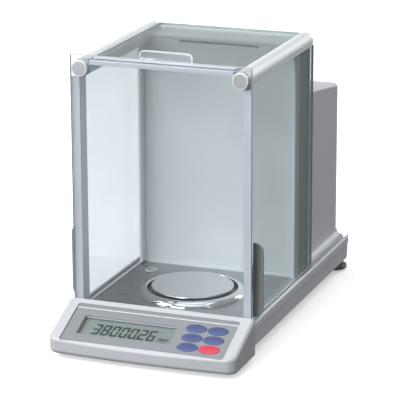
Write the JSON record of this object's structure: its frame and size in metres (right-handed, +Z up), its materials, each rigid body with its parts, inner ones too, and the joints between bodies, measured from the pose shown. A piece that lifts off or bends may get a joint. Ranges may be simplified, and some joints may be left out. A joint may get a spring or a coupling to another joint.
{
  "type": "analytical balance",
  "caption": "Laboratory analytical balance: glass weighing chamber with sliding side and roof doors, round pan, sloped front console and rear weigh-cell housing.",
  "frame": {"origin": "centre of the footprint on the surface the feet stand on", "axes": "+Z up, +X to the keypad side, +Y from the console towards the rear housing"},
  "size_m": [0.222, 0.421, 0.3265],
  "materials": {
    "case": "light grey enamel, fine texture",
    "console": "light grey moulded plastic, satin",
    "overlay": "grey printed film",
    "key_blue": "blue rubbery satin",
    "key_red": "red satin",
    "window": "clear",
    "lcd": "grey-green display",
    "board": "green circuit board",
    "rubber": "black rubber",
    "silicone": "pale silicone",
    "glass": "clear, green at the edges",
    "floor": "brushed stainless",
    "polished": "polished stainless",
    "profile": "grey anodised",
    "rod": "silver anodised",
    "rear_panel": "grey-green enamel",
    "trim": "white plastic",
    "handle": "smoke grey plastic",
    "clear_handle": "frosted clear plastic",
    "connector": "black plastic",
    "steel": "zinc plated",
    "cell": "machined",
    "copper": "enamelled winding",
    "motor": "black"
  },
  "bodies": {
    "case": {"base_casting": "case", "bottom_plates": "steel", "hook_cover": "rubber", "base_screws": "steel", "console_housing": "console", "keypad_overlay": "overlay", "lcd_window": "window", "lcd_module": "lcd", "display_board": "board", "key_mat": "silicone", "main_board": "board", "chamber_floor": "floor", "draught_ring": "polished", "level_body": "connector", "level_vial": "window", "front_glass": "glass", "front_posts": "profile", "front_top_rail": "profile", "left_rod": "rod", "right_rod": "rod", "rod_caps": "rod", "rear_panel": "rear_panel", "rear_trims": "trim", "rear_columns": "profile", "rear_frame_back": "rear_panel", "rear_top_cover": "trim", "rear_housing": "console", "connector_plate": "steel", "dc_inlet": "connector", "serial_connector": "steel", "ground_terminal": "steel", "cell_frame": "cell", "magnet": "steel", "position_sensor": "connector", "calibration_motor": "motor", "front_feet": "rubber"},
    "left_door": {"left_door_glass": "glass", "left_door_handle": "handle"},
    "right_door": {"right_door_glass": "glass", "right_door_handle": "handle"},
    "top_door": {"top_door_glass": "glass", "top_door_handle": "clear_handle"},
    "load_receiver": {"pan": "polished", "pan_support": "cell", "load_arm": "cell", "load_hanger": "cell"},
    "lever": {"lever": "cell", "coil": "copper"},
    "calibration_lifter": {"calibration_weight": "polished", "weight_lifter": "cell"},
    "rear_left_foot": {"rear_left_foot_glide": "rubber"},
    "rear_right_foot": {"rear_right_foot_glide": "rubber"},
    "rear_left_wheel": {"rear_left_foot_wheel": "handle"},
    "rear_right_wheel": {"rear_right_foot_wheel": "handle"},
    "key_upper_left": {"key_upper_left": "key_blue"},
    "key_upper_right": {"key_upper_right": "key_blue"},
    "key_middle_left": {"key_middle_left": "key_blue"},
    "key_middle_right": {"key_middle_right": "key_blue"},
    "key_lower_left": {"key_lower_left": "key_blue"},
    "key_lower_right": {"key_lower_right": "key_red"}
  },
  "joints": [
    {"name": "left_door_slide", "type": "slide", "parent": "case", "child": "left_door", "axis": [0, 1, 0], "range_m": [0, 0.135]},
    {"name": "right_door_slide", "type": "slide", "parent": "case", "child": "right_door", "axis": [0, 1, 0], "range_m": [0, 0.135]},
    {"name": "top_door_slide", "type": "slide", "parent": "case", "child": "top_door", "axis": [0, 1, 0], "range_m": [0, 0.14]},
    {"name": "key_upper_left_press", "type": "slide", "parent": "case", "child": "key_upper_left", "axis": [0, 0.3791, -0.9254], "range_m": [0, 0.0006], "stiffness_N_per_m": 1500, "springref_m": -0.0003},
    {"name": "key_upper_right_press", "type": "slide", "parent": "case", "child": "key_upper_right", "axis": [0, 0.3791, -0.9254], "range_m": [0, 0.0006], "stiffness_N_per_m": 1500, "springref_m": -0.0003},
    {"name": "key_middle_left_press", "type": "slide", "parent": "case", "child": "key_middle_left", "axis": [0, 0.3791, -0.9254], "range_m": [0, 0.0006], "stiffness_N_per_m": 1500, "springref_m": -0.0003},
    {"name": "key_middle_right_press", "type": "slide", "parent": "case", "child": "key_middle_right", "axis": [0, 0.3791, -0.9254], "range_m": [0, 0.0006], "stiffness_N_per_m": 1500, "springref_m": -0.0003},
    {"name": "key_lower_left_press", "type": "slide", "parent": "case", "child": "key_lower_left", "axis": [0, 0.3791, -0.9254], "range_m": [0, 0.0006], "stiffness_N_per_m": 1500, "springref_m": -0.0003},
    {"name": "key_lower_right_press", "type": "slide", "parent": "case", "child": "key_lower_right", "axis": [0, 0.3791, -0.9254], "range_m": [0, 0.0006], "stiffness_N_per_m": 1500, "springref_m": -0.0003},
    {"name": "load_slide", "type": "slide", "parent": "case", "child": "load_receiver", "axis": [0, 0, 1], "range_m": [-0.0003, 0], "stiffness_N_per_m": 6000, "springref_m": 0.001},
    {"name": "lever_tilt", "type": "hinge", "parent": "case", "child": "lever", "pos_m": [0, 0.1225, 0.158], "axis": [1, 0, 0], "range_deg": [-0.02, 0.8]},
    {"name": "calibration_slide", "type": "slide", "parent": "case", "child": "calibration_lifter", "axis": [0, 0, -1], "range_m": [0, 0.0025]},
    {"name": "rear_left_foot_height", "type": "slide", "parent": "case", "child": "rear_left_foot", "axis": [0, 0, 1], "range_m": [-0.003, 0.003]},
    {"name": "rear_left_foot_turn", "type": "hinge", "parent": "rear_left_foot", "child": "rear_left_wheel", "pos_m": [-0.0905, 0.1944, 0.004], "axis": [0, 0, 1], "range_deg": [-1085, 1085]},
    {"name": "rear_right_foot_height", "type": "slide", "parent": "case", "child": "rear_right_foot", "axis": [0, 0, 1], "range_m": [-0.003, 0.003]},
    {"name": "rear_right_foot_turn", "type": "hinge", "parent": "rear_right_foot", "child": "rear_right_wheel", "pos_m": [0.0905, 0.1944, 0.004], "axis": [0, 0, 1], "range_deg": [-1085, 1085]}
  ],
  "couplings": [
    {"joint": "lever_tilt", "follows": "load_slide", "rad_per_m": -45.455},
    {"joint": "rear_left_foot_turn", "follows": "rear_left_foot_height", "rad_per_m": 6283.2},
    {"joint": "rear_right_foot_turn", "follows": "rear_right_foot_height", "rad_per_m": 6283.2}
  ]
}
